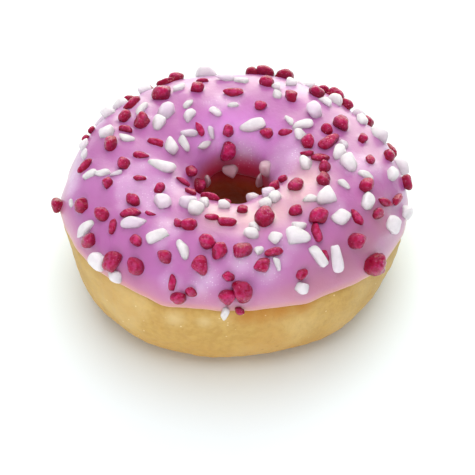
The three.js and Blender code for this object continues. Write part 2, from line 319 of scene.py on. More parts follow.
def near_places(around, across, places):
    """1 at each of the places (around, across, reach), fading as exp(-(distance / reach)^2)."""
    spots = form(around, across)
    share = np.zeros(spots.shape[:-1])
    for place_around, place_across, reach in places:
        distance = np.linalg.norm(spots - form(place_around, place_across), axis=-1)
        share = np.maximum(share, np.exp(-((distance / reach) ** 2)))
    return share


# The two pale spots on the dough are partly a painted sheen.
PALE_SPOTS = [(-110, -2, 1.6), (-100, -2, 1.2)]
BROWN_SPOTS = [(-85, 8, 2.2), (-80, 8, 2.6), (-74, 8, 2.6), (-66, 8, 2.0)]
BROWN_FOOT_FROM = 15
BROWN_FOOT_TO = 62

flank = np.linspace(BARE_FROM, BARE_TO, DOUGH_STEPS_FLANK, endpoint=False)
covered = np.linspace(BARE_TO, BARE_FROM + 360, DOUGH_STEPS_COVERED, endpoint=False)
dough_across = np.concatenate([flank, covered])[:, None]
dough_around = np.linspace(-180, 180, DOUGH_STEPS_AROUND, endpoint=False)[None, :]
dough_places = np.broadcast_arrays(dough_around, dough_across)
dough_points, dough_bowls = dough_skin(*dough_places)
dough = make_piece(
    "dough",
    dough_points,
    closed_grid_faces(*dough_points.shape[:2]),
    pit=dough_bowls,
    # Painted shade in the hole: the wall darkened to red-brown, crimson next to the coat
    in_hole=in_hole(dough_places[1]),
    near_icing=1 - smoothstep(dough_places[1] % 360, 174, 190),
    pale=near_places(*dough_places, PALE_SPOTS),
    browned=near_places(*dough_places, BROWN_SPOTS),
    low=smoothstep(-dough_places[1], BROWN_FOOT_FROM, BROWN_FOOT_TO),
)

# %% [markdown]
# The nuggets' places. The larger ones lie where they catch the eye, and each is named by its angles
# around and across, its length and, where it doesn't lie along the ring, its turn. The rest are strewn
# by a rule: try a random place, and keep it if it lies clear of all those before it. The random numbers
# come from a seeded rule, so that they fall the same way on every run. The named ones cover all that
# the camera sees, so the strewn ones are kept to the side that is turned away from it.

# %% Nuggets with a place of their own, as (around, across, length, turn)
RED_STOUT = [
    (-102, 76, 3.1), (-96, 68, 3.2, 90), (-103, 55, 3.5, 90), (-86, 69, 3.4), (-79, 54, 3.1),
    (-92, 47, 2.2), (-87, 33, 4.2, 90), (-92, 29, 3.3), (-88, 16, 1.7), (-109, 24, 2.8), (-105, 31, 2.2),
    (-118, 56, 2.7), (-132, 59, 2.3), (-127, 39, 3.4, -30), (-135, 34, 3.7, 90), (-148, 33, 2.9, 80),
    (-152, 56, 2.9), (-163, 43, 3.1), (-173, 15, 3.1), (-166, 71, 2.3), (-177, 86, 2.8), (169, 71, 3.0),
    (-150, 83, 2.6), (-115, 91, 2.7), (-121, 90, 1.9), (-83, 117, 2.0), (-70, 101, 3.9, 40),
    (-51, 96, 2.4), (-45, 79, 3.6), (-39, 44, 3.4), (-65, 39, 2.2), (-37, 15, 4.7), (-24, 45, 2.3),
    (-16, 65, 3.0), (0, 22, 3.0), (14, 64, 2.2), (0, 64, 2.1), (7, 42, 2.6), (-9, 101, 2.6),
    (-20, 98, 2.8), (15, 112, 2.8), (24, 76, 3.5), (22, 92, 2.2), (52, 129, 2.5), (56, 86, 2.7),
    (73, 73, 2.8), (96, 133, 2.5, 90), (98, 149, 3.6, 90), (110, 83, 2.7), (128, 75, 3.9),
    (149, 66, 2.7), (150, 86, 3.5), (-32, 115, 2.9), (-152, 108, 2.3, 90), (-178, 160, 3.2),
    (178, 143, 2.6), (-101, 145, 2.0), (-38, 132, 2.3), (-22, 132, 1.9), (49, 65, 3.2), (70, 107, 2.3),
    (40, 40, 2.8), (46, 40, 3.6), (31, 30, 2.6), (77, 41, 3.6), (69, 41, 3.6), (82, 41, 2.8),
    (113, 41, 3.1), (52, 40, 2.6), (160, 34, 1.8), (156, 37, 1.6),
]
RED_SLIM = [
    (-73, 64, 3.3, 0), (-112, 36, 2.9, 90), (-94, 100, 3.4, 0), (-104, 104, 2.6, 0), (-116, 132, 3.7, 0),
    (-157, 131, 2.9, 40), (-138, 129, 2.5, 0), (-144, 56, 2.9, 130), (-144, 74, 3.8, 55),
    (-51, 68, 3.9, 65), (-32, 58, 3.3, 70), (-53, 47, 2.1, 90), (-17, 44, 3.3, 120), (-11, 32, 3.5, -10),
    (12, 95, 4.8, -60), (-1, 105, 3.4, 85), (5, 115, 2.5, 80), (36, 121, 2.8, 45), (90, 93, 3.9, 0),
    (125, 126, 2.9, 85), (105, 69, 2.4, -10), (139, 58, 4.1, 0), (157, 77, 2.8, 90), (163, 108, 3.1, 80),
    (177, 100, 3.0, 90), (179, 51, 3.5, 130), (-164, 97, 2.4, 75), (21, 9, 4.0, 0), (-138, 86, 2.1, 30),
    (119, 48, 3.7, 0),
]
WHITE_STOUT = [
    (-127, 114, 2.9), (-117, 109, 2.9), (-98, 122, 2.2), (-63, 140, 2.4), (-52, 128, 2.6),
    (-53, 119, 2.6), (-140, 102, 3.3), (-81, 85, 2.5), (-78, 93, 2.0), (-70, 76, 2.5), (-79, 67, 1.7),
    (-60, 72, 4.0), (-56, 80, 2.6), (-66, 28, 2.5), (-140, 26, 3.2), (-132, 23, 2.6), (-33, 86, 3.6),
    (-37, 67, 3.2), (-23, 58, 3.1), (-6, 116, 2.7), (24, 114, 2.4), (3, 89, 3.0), (38, 89, 3.3),
    (-3, 43, 2.6), (23, 152, 2.8), (95, 169, 3.0), (125, 111, 2.5), (105, 116, 2.2), (136, 96, 3.3),
    (147, 100, 2.8), (160, 62, 3.0), (10, 83, 2.0), (-5, 82, 3.7), (19, 42, 3.7), (161, 121, 3.2),
    (10, 16, 3.6), (-11, 15, 2.9), (-115, 119, 2.2), (-63, 116, 2.5), (41, 55, 3.0), (27, 51, 2.4),
    (139, 38, 3.0), (146, 40, 3.2), (165, 41, 2.3), (101, 41, 4.0), (-22, 28, 3.3, 45), (62, 64, 2.2),
    (67, 77, 1.9), (64, 88, 1.9), (57, 47, 2.0), (33, 40, 2.8), (127, 39, 2.6),
]
WHITE_SLIM = [
    (-112, 67, 4.0, 125), (-73, 53, 2.5, 85), (-93, 13, 2.7, 70), (-153, 36, 4.0, 85),
    (-139, 70, 4.5, 45), (-125, 70, 4.0, 45), (-56, 49, 4.2, 105), (-50, 40, 4.8, 70),
    (-38, 97, 2.8, -50), (-10, 67, 3.1, 80), (-20, 81, 2.6, 60), (32, 107, 3.9, 60), (41, 70, 3.2, 0),
    (70, 127, 4.9, 20), (115, 132, 2.6, 80), (130, 139, 2.9, 5), (137, 124, 3.3, -35),
    (150, 128, 3.4, 70), (-174, 116, 5.1, 60), (-175, 57, 2.9, 95), (-173, 68, 2.9, 90),
    (-171, 79, 2.3, 90), (164, 83, 3.2, 80), (118, 76, 2.9, 10), (120, 99, 2.7, 30), (94, 69, 3.6, 0),
    (86, 74, 2.9, 0), (90, 109, 2.2, 0), (43, 111, 2.6, 0), (142, 76, 3.4, 0), (144, 172, 2.7, 90),
    (38, 172, 3.2, 90), (171, 46, 2.5, 0), (-168, 32, 1.8, 0),
]

# %% The rule that strews the rest
STOUT = (1.0, 0.84, 0.82)
SLIM = (1.0, 0.46, 0.45)
SCATTER_FROM = 16
SCATTER_TO = 166
SPACING_SLOPE = 3.8
SPACING_TOP = 3.0
SPACING_HOLE = 3.8
SLOPE_ENDS = 58
HOLE_STARTS = 136
SCATTER_LENGTH_LEAST = 2.0
SCATTER_LENGTH_SPREAD = 2.4
SCATTER_TRIES = 6000
SCATTER_SEED = 31
DRAWS_PER_TRY = 6
WORD = 0xFFFFFFFF
VIEWER = np.array([0, -np.cos(np.radians(46)), np.sin(np.radians(46))])
TURNED_AWAY = -0.1


def seeded_draws(seed, count):
    """Draws from 0 to 1 by the mulberry32 rule, which mixes the bits of a steadily growing counter."""
    state = seed
    draws = np.empty(count)
    for i in range(count):
        state = (state + 0x6D2B79F5) & WORD
        mixed = ((state ^ (state >> 15)) * (state | 1)) & WORD
        mixed ^= (mixed + (((mixed ^ (mixed >> 7)) * (mixed | 61)) & WORD)) & WORD
        draws[i] = ((mixed ^ (mixed >> 14)) & WORD) / (WORD + 1)
    return draws


def unit(vectors):
    """The vectors at length 1."""
    return vectors / np.linalg.norm(vectors, axis=-1, keepdims=True)


def axes_at(around, across):
    """Unit directions along the ring, across the tube and out of the form.

    They come from differences of the form: one step around, one step across, and their cross product."""
    along_ring = unit(form(around + 1, across) - form(around - 1, across))
    across_tube = unit(form(around, across + 1) - form(around, across - 1))
    up = unit(np.cross(along_ring, across_tube))
    return along_ring, np.cross(up, along_ring), up


def strew(taken):
    """Rows of (around, across, length, turn, red) for the places that keep their distance from others."""
    draws = seeded_draws(SCATTER_SEED, SCATTER_TRIES * DRAWS_PER_TRY).reshape(-1, DRAWS_PER_TRY)
    around = draws[:, 0] * 360 - 180
    across = SCATTER_FROM + (SCATTER_TO - SCATTER_FROM) * draws[:, 1]
    length = SCATTER_LENGTH_LEAST + SCATTER_LENGTH_SPREAD * draws[:, 2] * draws[:, 3]
    spacing = np.where(across < SLOPE_ENDS, SPACING_SLOPE, SPACING_TOP)
    spacing = np.where(across > HOLE_STARTS, SPACING_HOLE, spacing)
    spots = form(around, across)
    rows = []
    for i in np.flatnonzero(axes_at(around, across)[2] @ VIEWER < TURNED_AWAY):
        if np.min(np.linalg.norm(taken - spots[i], axis=1)) > spacing[i]:
            taken = np.vstack([taken, spots[i]])
            rows.append((around[i], across[i], length[i], draws[i, 4] * 180, draws[i, 5] < 0.5))
    return rows


def nugget_table(rows, shape):
    """Rows of (around, across, length, turn, width share, height share), the turn 0 if none is given."""
    return np.array([(*row, 0)[:4] + shape[1:] for row in rows], float)


named_rows = [RED_STOUT, RED_SLIM, WHITE_STOUT, WHITE_SLIM]
named_spots = np.concatenate([form(*nugget_table(rows, STOUT).T[:2]) for rows in named_rows])
strewn = strew(named_spots)
strewn_red = [row[:4] for row in strewn if row[4]]
strewn_white = [row[:4] for row in strewn if not row[4]]
reds = np.vstack(
    [nugget_table(RED_STOUT, STOUT), nugget_table(RED_SLIM, SLIM), nugget_table(strewn_red, STOUT)]
)
whites = np.vstack(
    [nugget_table(WHITE_STOUT, STOUT), nugget_table(WHITE_SLIM, SLIM), nugget_table(strewn_white, SLIM)]
)
print(len(reds), "red nuggets and", len(whites), "white ones,", len(strewn), "of them strewn")

# %% [markdown]
# How a nugget lies. Each one has a frame of its own: one axis along the ring, one across the tube and
# one straight out of the icing. The first two are turned by the nugget's turn. Its middle lies a little
# above the icing, so that about a third of it is sunk in.

# %% The frame of each nugget
SUNK = 0.3


def icing_lip(around, across):
    """The icing's height above the outer form: a low lip at its edge that fades away inwards."""
    return EDGE_LIP * (1 - smoothstep(inside_edge(around, across), 0, TAPER_END))


def nugget_frames(table):
    """Middles, axes as rows, and half sizes of all nuggets in a table."""
    around, across, length, turn, width, height = table.T
    along_ring, across_tube, up = axes_at(around, across)
    c = np.cos(np.radians(turn))[:, None]
    s = np.sin(np.radians(turn))[:, None]
    axes = np.stack([c * along_ring + s * across_tube, c * across_tube - s * along_ring, up], axis=1)
    half = length[:, None] / 2 * np.stack([np.ones_like(width), width, height], axis=1)
    lift = half[:, 2] * (1 - 2 * SUNK) + lumps(around, across)
    middle = form(around, across, icing_lip(around, across)) + lift[:, None] * up
    return middle, axes, half


red_frames = nugget_frames(reds)
white_frames = nugget_frames(whites)
print("longest nugget in mm:", round(2 * red_frames[2].max(), 1))

# %% [markdown]
# The coat of icing. It is a closed skin: over the top from the outer edge to the edge in the hole, and
# back again just inside the dough, where nothing shows. Wet icing has no sharp edge, so its thickness
# grows from the edge like a quarter of a circle. It also creeps a little way up whatever is pressed into
# it, which is what makes the nuggets look set in and not laid on. A Solidify modifier on a copied surface
# would give one thickness all over, so the top and the underside are both worked out here.

# %% The icing's skin
ICING_STEPS_AROUND = 680
ICING_TOP_STEPS = 112
ICING_UNDER_STEPS = 14
MM_PER_DEGREE = HALF_WIDTH * np.pi / 180
BEAD_RADIUS = 0.6
TUCK = 0.25
ICING_SHEETING = {"height": 0.05, "wavelength": 6, "seed": 8}
CREEP_HEIGHT = 0.12
CREEP_REACH = 0.24

# Places where the coat looks different, as (around, across, reach in mm)
# In the sugared places the drifts are paler, and white specks in them are painted glints
SUGARED = [(-100, 44, 2.0), (-102, 34, 1.8), (-87, 58, 1.8), (-77, 48, 1.8), (75, 152, 2.6), (8, 126, 2.4)]
THIN = [(-70, 18, 4.0), (-60, 24, 5.0), (-48, 30, 5.0), (-36, 34, 5.0), (-24, 36, 5.0)]
# On the far wall of the hole the coat is painted paler, as light falling there
THICK = [(115, 138, 4.5), (95, 135, 5.0), (75, 136, 5.0), (60, 138, 4.5)]
# On the near rim of the hole a creamy pink is painted, as sheen
GLAZED = [(-100, 108, 3.6), (-80, 108, 4.2), (-60, 108, 4.2), (-40, 108, 4.2), (-20, 112, 4.0)]


def creep(points, frames):
    """How far the icing rises round the nuggets: highest at a nugget's side, and soon gone.

    In each nugget's own frame, scaled to a ball of radius 1, it is exp(-((distance - 1) / reach)^2)."""
    rise = np.zeros(points.shape[:-1])
    for middle, axes, half in zip(*frames):
        offset = (points - middle) @ (axes.T / half)
        beyond = np.maximum(0, np.linalg.norm(offset, axis=-1) - 1)
        rise = np.maximum(rise, np.exp(-((beyond / CREEP_REACH) ** 2)))
    return CREEP_HEIGHT * rise


def edge_to_edge(steps):
    """Shares of the way from edge to edge, closer together near both ends."""
    even = np.linspace(0, 1, steps)
    return 0.45 * even + 0.55 * (0.5 - 0.5 * np.cos(np.pi * even))


def icing_skin(around):
    """Points of the coat, their angles, and each point's distance from the icing's edge in millimetres.

    Top: the dough's level plus thickness * sqrt(1 - (1 - distance / bead radius)^2), which is the whole
    thickness from one bead radius inwards."""
    way_back = edge_to_edge(ICING_UNDER_STEPS)[-2:0:-1]
    share = np.concatenate([edge_to_edge(ICING_TOP_STEPS), way_back])[:, None]
    across = outer_edge(around) + (inner_edge(around) - outer_edge(around)) * share
    around, across = np.broadcast_arrays(around, across)
    from_edge = MM_PER_DEGREE * np.maximum(0, inside_edge(around, across))
    depth = dough_depth(around, across)
    round_off = np.sqrt(1 - (1 - np.minimum(1, from_edge / BEAD_RADIUS)) ** 2)
    level = lumps(around, across) - depth
    place = form(around, across)
    sheeting = ripples(place, ICING_SHEETING["wavelength"], ICING_SHEETING["seed"])
    sheeting *= ICING_SHEETING["height"]
    rise = np.maximum(creep(place, red_frames), creep(place, white_frames))
    top = level + (depth + icing_lip(around, across) + sheeting + rise) * round_off
    under = level - TUCK * np.minimum(1, from_edge)
    on_top = (np.arange(len(share)) < ICING_TOP_STEPS)[:, None]
    return form(around, across, np.where(on_top, top, under)), (around, across), from_edge


icing_around = np.linspace(-180, 180, ICING_STEPS_AROUND, endpoint=False)[None, :]
icing_points, icing_places, icing_from_edge = icing_skin(icing_around)
icing = make_piece(
    "icing_coat",
    icing_points,
    closed_grid_faces(*icing_points.shape[:2]),
    from_edge=icing_from_edge,
    in_hole=smoothstep(icing_places[1], 148, 168),
    sugared=near_places(*icing_places, SUGARED),
    thin=near_places(*icing_places, THIN),
    thick=near_places(*icing_places, THICK),
    glazed=near_places(*icing_places, GLAZED),
)

# %% [markdown]
# The nuggets themselves. Both kinds are broken pieces with worn corners. A ball cut by a few flat sides
# gives such a piece, and if the cuts are blended by a power mean, the corners come out round. The white
# ones are sugar: smooth, with soft flats. The red ones are dried fruit: the same kind of piece, but
# shrunken into folds, and the largest one is beaded like a berry. Sculpting each would take days, and
# copies of one shape would show, so every nugget draws its own cuts and folds, and a little taper.

# %% A ball of directions, as a grid of turns and rises
NUGGET_TURNS = 30
NUGGET_RISES = 17


def ball_grid():
    """Unit directions from pole to pole, and the faces that join them, the poles closed by triangles."""
    turn = np.linspace(0, 2 * np.pi, NUGGET_TURNS, endpoint=False)[None, :]
    rise = np.linspace(-np.pi / 2, np.pi / 2, NUGGET_RISES)[1:-1, None]
    level = np.sin(rise) + 0 * turn
    rings = np.stack([np.cos(rise) * np.cos(turn), np.cos(rise) * np.sin(turn), level], axis=-1)
    directions = np.vstack([rings.reshape(-1, 3), [(0, 0, -1)], [(0, 0, 1)]])
    corner = np.arange(rings.shape[0] * NUGGET_TURNS).reshape(-1, NUGGET_TURNS)
    beside = np.roll(corner, -1, axis=1)
    quads = np.stack([corner[:-1], beside[:-1], beside[1:], corner[1:]], axis=-1).reshape(-1, 4)
    low = np.full(NUGGET_TURNS, corner.size)
    bottom = np.stack([low, beside[0], corner[0]], axis=-1)
    top = np.stack([low + 1, corner[-1], beside[-1]], axis=-1)
    return directions, quads, np.vstack([bottom, top])


DIRECTIONS, BALL_QUADS, BALL_TRIANGLES = ball_grid()
print("directions on each nugget:", len(DIRECTIONS))

# %% Worn pieces, folds and beads
FLAT_SIDES = 7


def worn_radius(count, draw, distance, sharpness, upright, fullness):
    """How far each piece reaches in each direction.

    A flat side at distance d with normal n lets a direction reach d / (direction . n). The reciprocals of
    all these reaches and of the uncut piece's own are joined by the power mean with the given sharpness.
    The uncut piece is |x|^f + |y|^f + |z|^f = 1, a ball at a fullness f of 2 and blunter above. The
    normals' upward parts are multiplied by upright, so that below 1 most sides stand like a chip's."""
    normals = unit(draw.normal(size=(count, FLAT_SIDES, 3)) * (1, 1, upright))
    distances = draw.uniform(*distance, (count, 1, FLAT_SIDES))
    facing = np.maximum(0, np.einsum("vk,nsk->nvs", DIRECTIONS, normals)) / distances
    uncut = (abs(DIRECTIONS) ** fullness).sum(-1) ** (sharpness / fullness)
    return (uncut + (facing**sharpness).sum(-1)) ** (-1 / sharpness)


def folds(count, draw, waves=4, pace=(2.2, 4.6)):
    """Folds from 0 in the creases to 1 on the ridges: the mean of |sin| over a few waves."""
    vectors = unit(draw.normal(size=(count, waves, 3))) * draw.uniform(*pace, (count, waves, 1))
    phases = draw.uniform(0, np.pi, (count, 1, waves))
    return abs(np.sin(np.einsum("vk,nwk->nvw", DIRECTIONS, vectors) + phases)).mean(-1)


def place_pieces(name, frames, radius, taper, **values):
    """All nuggets of one kind as one mesh: balls tapered, stretched to their half sizes, turned and moved.

    The taper narrows a piece towards one end by a share of its distance along its length. Then each piece
    is centred and scaled so that it fills its box: (place - middle of its box) / half the box's size."""
    middle, axes, half = frames
    ball = DIRECTIONS[None] * radius[..., None]
    narrowing = 1 - taper[:, None, None] * ball[..., :1]
    ball = ball * np.concatenate([np.ones_like(narrowing), narrowing, narrowing], axis=-1)
    low = ball.min(axis=1, keepdims=True)
    high = ball.max(axis=1, keepdims=True)
    ball = (2 * ball - low - high) / (high - low)
    points = np.einsum("nvk,nkj->nvj", ball * half[:, None], axes) + middle[:, None]
    first = (np.arange(len(middle)) * len(DIRECTIONS))[:, None, None]
    faces = (BALL_QUADS + first).reshape(-1, 4).tolist() + (BALL_TRIANGLES + first).reshape(-1, 3).tolist()
    return make_piece(name, points, faces, **values)


# %% The red nuggets
RED_SEED = 12
RED_CUT = {"distance": (0.62, 0.96), "sharpness": 8, "upright": 0.7, "fullness": 2.3}
FOLD_DEPTH = 0.16
BEAD_HEIGHT = 0.24
BEAD_SIZE = 1.1
BEADED_FROM = 4.4
BEADED_TO = 4.6

red_draw = np.random.default_rng(RED_SEED)
red_folds = folds(len(reds), red_draw)
beaded = smoothstep(reds[:, 2], BEADED_FROM, BEADED_TO)[:, None] * (reds[:, 4] > SLIM[1])[:, None]
bead_places = DIRECTIONS[None] * red_frames[2][:, None] + 50 * red_draw.random((len(reds), 1, 3))
beads = np.maximum(0, 1 - nearest_seed(bead_places, BEAD_SIZE))
red_radius = worn_radius(len(reds), red_draw, **RED_CUT)
red_radius = red_radius * (1 - FOLD_DEPTH * (1 - beaded) * (1 - red_folds) + BEAD_HEIGHT * beaded * beads)
red_nuggets = place_pieces(
    "red_nuggets",
    red_frames,
    red_radius,
    red_draw.uniform(-0.15, 0.15, len(reds)),
    ridge=np.where(beaded > 0.5, beads, red_folds),
    # The upward part of each direction, which paints the top lighter and the underside darker as shade
    crown=np.tile(DIRECTIONS[:, 2], len(reds)),
    tone=np.repeat(red_draw.random(len(reds)), len(DIRECTIONS)),
)

# %% The white nuggets
WHITE_SEED = 21
WHITE_CUT = {"distance": (0.55, 0.9), "sharpness": 9, "upright": 0.4, "fullness": 3.2}
WAVE_DEPTH = 0.12

white_draw = np.random.default_rng(WHITE_SEED)
white_waves = folds(len(whites), white_draw, waves=2, pace=(0.8, 1.8))
white_nuggets = place_pieces(
    "white_nuggets",
    white_frames,
    worn_radius(len(whites), white_draw, **WHITE_CUT) * (1 - WAVE_DEPTH * (1 - white_waves)),
    white_draw.uniform(-0.25, 0.25, len(whites)),
    tone=np.repeat(white_draw.random(len(whites)), len(DIRECTIONS)),
    # Whites deep in the hole are painted a dusky red, as shade
    soaked=np.repeat(smoothstep(whites[:, 1], 130, 158), len(DIRECTIONS)),
)

# %% [markdown]
# Materials are small programs that give every point its colour, its roughness and its fine relief. Two
# effects are needed again and again: soft patches, which are noise between two limits, and specks, which
# are the few cells of a cell pattern whose middle is near. Each is built once as a node group that puts
# out a mask, and every material uses it with its own scale.

# %% Helpers for nodes


def add_node(tree, kind, inputs, **settings):
    """Adds a node. An input that is a socket is linked, and any other input is set as a value."""
    node = tree.nodes.new(kind)
    for key, value in settings.items():
        setattr(node, key, value)
    for key, value in inputs.items():
        if isinstance(value, bpy.types.NodeSocket):
            tree.links.new(value, node.inputs[key])
        else:
            node.inputs[key].default_value = value
    return node


def new_group(name, inputs, output):
    """An empty group: a vector input for the place, number inputs with their defaults, one mask out."""
    group = bpy.data.node_groups.new(name, "ShaderNodeTree")
    group.interface.new_socket("Place", in_out="INPUT", socket_type="NodeSocketVector")
    for key, value in inputs.items():
        number = group.interface.new_socket(key, in_out="INPUT", socket_type="NodeSocketFloat")
        number.default_value = value
    group.interface.new_socket(output, in_out="OUTPUT", socket_type="NodeSocketFloat")
    return group, group.nodes.new("NodeGroupInput").outputs, group.nodes.new("NodeGroupOutput")


# %% The patches group: noise between two limits
patches, given, result = new_group("patches", {"Scale": 100, "Detail": 3, "From": 0.4, "To": 0.6}, "Mask")
noise = add_node(
    patches,
    "ShaderNodeTexNoise",
    {"Vector": given["Place"], "Scale": given["Scale"], "Detail": given["Detail"]},
)
limits = add_node(
    patches,
    "ShaderNodeMapRange",
    {"Value": noise.outputs["Fac"], "From Min": given["From"], "From Max": given["To"]},
    interpolation_type="SMOOTHSTEP",
)
patches.links.new(limits.outputs["Result"], result.inputs["Mask"])

# %% The specks group: a share of the cells, each with a round spot in it
specks, given, result = new_group("specks", {"Scale": 500, "Size": 0.2, "Share": 0.3}, "Mask")
cells = add_node(specks, "ShaderNodeTexVoronoi", {"Vector": given["Place"], "Scale": given["Scale"]})
lot = add_node(specks, "ShaderNodeSeparateColor", {"Color": cells.outputs["Color"]})
chosen = add_node(
    specks,
    "ShaderNodeMath",
    {0: lot.outputs["Red"], 1: given["Share"]},
    operation="LESS_THAN",
)
spot = add_node(
    specks,
    "ShaderNodeMapRange",
    {"Value": cells.outputs["Distance"], "From Min": given["Size"], "From Max": 0.0},
    interpolation_type="SMOOTHSTEP",
)
both = add_node(
    specks,
    "ShaderNodeMath",
    {0: chosen.outputs[0], 1: spot.outputs["Result"]},
    operation="MULTIPLY",
)
specks.links.new(both.outputs[0], result.inputs["Mask"])
print("shared node groups:", [group.name for group in bpy.data.node_groups])

# %% A workbench for one material


class Finish:
    """A material under construction, with short words for what its nodes do."""

    def __init__(self, name):
        self.material = bpy.data.materials.new(name)
        self.material.use_nodes = True
        self.tree = self.material.node_tree
        self.shader = self.tree.nodes["Principled BSDF"]
        self.place = self.tree.nodes.new("ShaderNodeTexCoord").outputs["Object"]

    def mask(self, group, **values):
        """The mask of a shared group at this material's own values."""
        node = add_node(self.tree, "ShaderNodeGroup", {}, node_tree=group)
        self.tree.links.new(self.place, node.inputs["Place"])
        for key, value in values.items():
            node.inputs[key].default_value = value
        return node.outputs["Mask"]

    def number(self, attribute):
        """A number that the mesh keeps on its vertices."""
        return add_node(self.tree, "ShaderNodeAttribute", {}, attribute_name=attribute).outputs["Fac"]

    def between(self, value, low, high, out_low=0.0, out_high=1.0):
        """The value, moved from one range to another and kept inside it."""
        inputs = {"Value": value, "From Min": low, "From Max": high, "To Min": out_low, "To Max": out_high}
        return add_node(self.tree, "ShaderNodeMapRange", inputs).outputs["Result"]

    def math(self, operation, first, second):
        """Two numbers joined by an operation."""
        return add_node(self.tree, "ShaderNodeMath", {0: first, 1: second}, operation=operation).outputs[0]

    def blend(self, share, low, high):
        """A colour between two others."""
        inputs = {"Factor": share, "A": low, "B": high}
        node = self.tree.nodes.new("ShaderNodeMix")
        node.data_type = "RGBA"
        sockets = {"Factor": node.inputs[0], "A": node.inputs[6], "B": node.inputs[7]}
        for key, value in inputs.items():
            if isinstance(value, bpy.types.NodeSocket):
                self.tree.links.new(value, sockets[key])
            else:
                sockets[key].default_value = value
        return node.outputs[2]

    def feed(self, socket, value):
        """Links a value that changes over the surface to one of the shader's sockets."""
        self.tree.links.new(value, self.shader.inputs[socket])

    def bump(self, height, distance, strength=1.0):
        """Fine relief, in metres, on the shader's normal."""
        inputs = {"Height": height, "Distance": distance, "Strength": strength}
        node = add_node(self.tree, "ShaderNodeBump", inputs)
        self.feed("Normal", node.outputs["Normal"])


def colour(red, green, blue):
    """A linear colour from the 0 to 255 values that a screen shows: ((v / 255 + 0.055) / 1.055)^2.4."""
    shown = np.array([red, green, blue]) / 255
    return (*np.where(shown > 0.04045, ((shown + 0.055) / 1.055) ** 2.4, shown / 12.92), 1.0)


# %% [markdown]
# Fried dough is golden tan, but never evenly so: pale where it stayed out of the oil longest, orange-brown
# where the skin caught, with dark pores and a few bright crumbs. It is dry with a trace of oil, so the
# highlight is weak and broad. Light goes a little way in, and a small subsurface part softens the shade.
# Painting an image would tie the finish to one size. Noise masks lay the patches here, and the mesh keeps
# numbers for what has a place of its own: two pale spots, which are partly a painted sheen, a browned
# strip under the coat, the foot, the pits, which are painted a little darker as shade, and the wall of the
# hole, which is painted red-brown as shade, crimson next to the coat.

# %% The dough's material
finish = Finish("fried_dough")
pale = finish.mask(patches, Scale=70, Detail=2, From=0.46, To=0.68)
brown = finish.mask(patches, Scale=95, Detail=3, From=0.5, To=0.72)
grain = finish.mask(patches, Scale=900, Detail=4, From=0.3, To=0.7)
pores = finish.mask(specks, Scale=420, Size=0.18, Share=0.25)
crumbs = finish.mask(specks, Scale=760, Size=0.18, Share=0.26)
tan = finish.blend(grain, colour(189, 150, 83), colour(200, 163, 96))
tan = finish.blend(finish.math("MULTIPLY", pale, 0.42), tan, colour(224, 196, 138))
tan = finish.blend(finish.math("MULTIPLY", brown, 0.42), tan, colour(194, 144, 74))
tan = finish.blend(finish.math("MULTIPLY", finish.number("low"), 0.5), tan, colour(204, 150, 76))
tan = finish.blend(finish.number("browned"), tan, colour(186, 130, 62))
# Pale spots, partly a painted sheen
tan = finish.blend(finish.math("MULTIPLY", finish.number("pale"), 0.6), tan, colour(222, 198, 148))
tan = finish.blend(finish.math("MULTIPLY", pores, 0.5), tan, colour(160, 116, 58))
# The pits are painted a little darker, as shade in them
tan = finish.blend(finish.math("MULTIPLY", finish.number("pit"), 0.3), tan, colour(166, 120, 60))
tan = finish.blend(finish.math("MULTIPLY", crumbs, 0.8), tan, colour(244, 228, 184))
# Painted shade on the wall of the hole: red-brown, and crimson next to the coat
wall = finish.blend(finish.number("near_icing"), colour(190, 82, 44), colour(198, 58, 84))
tan = finish.blend(finish.number("in_hole"), tan, wall)
finish.feed("Base Color", tan)
finish.feed("Roughness", finish.between(grain, 0, 1, 0.5, 0.68))
finish.shader.inputs["Specular IOR Level"].default_value = 0.3
finish.shader.inputs["Specular Tint"].default_value = colour(255, 226, 170)
finish.bump(finish.math("SUBTRACT", grain, pores), 0.00006)
finish.shader.inputs["Subsurface Weight"].default_value = 0.15
finish.shader.inputs["Subsurface Radius"].default_value = (1.0, 0.5, 0.2)
finish.shader.inputs["Subsurface Scale"].default_value = 0.001
dough.data.materials.append(finish.material)

# %% [markdown]
# The icing is sugar and fat with a little colour. Light soaks into it, which washes out small shadows.
# Where it thins out at its edge, the warm dough shows through, so the colour runs from orchid over pink
# to a pinkish tan. Deep in the hole a dark crimson is painted as shade, on the far wall of the hole a
# paler orchid is painted as light, and on the near rim of the hole a creamy pink is painted as sheen.
# Fine sugar lies in it in drifts as well, and its glints are painted as white specks. It has dried with a
# smooth skin. A low roughness would make that skin look wet, so the shader's coat layer is used instead:
# rather rough, but with a high index, which gives a broad sheen where the light comes from behind and
# hardly any where it comes from above.

# %% The icing's material
finish = Finish("set_icing")
from_edge = finish.number("from_edge")
drift = finish.mask(patches, Scale=55, Detail=1, From=0.35, To=0.65)
sugar_drift = finish.mask(patches, Scale=110, Detail=2, From=0.52, To=0.66)
sugar = finish.mask(specks, Scale=2200, Size=0.36, Share=0.5)
film = finish.mask(patches, Scale=1500, Detail=2, From=0.2, To=0.8)
orchid = finish.blend(drift, colour(185, 104, 171), colour(193, 118, 183))
cover = finish.math("MAXIMUM", finish.number("sugared"), finish.math("MULTIPLY", sugar_drift, 0.5))
# Painted light: a paler orchid on the far wall of the hole
orchid = finish.blend(finish.number("thick"), orchid, colour(224, 146, 222))
orchid = finish.blend(finish.math("MULTIPLY", cover, 0.85), orchid, colour(224, 186, 224))
orchid = finish.blend(finish.math("MULTIPLY", finish.number("thin"), 0.75), orchid, colour(186, 122, 142))
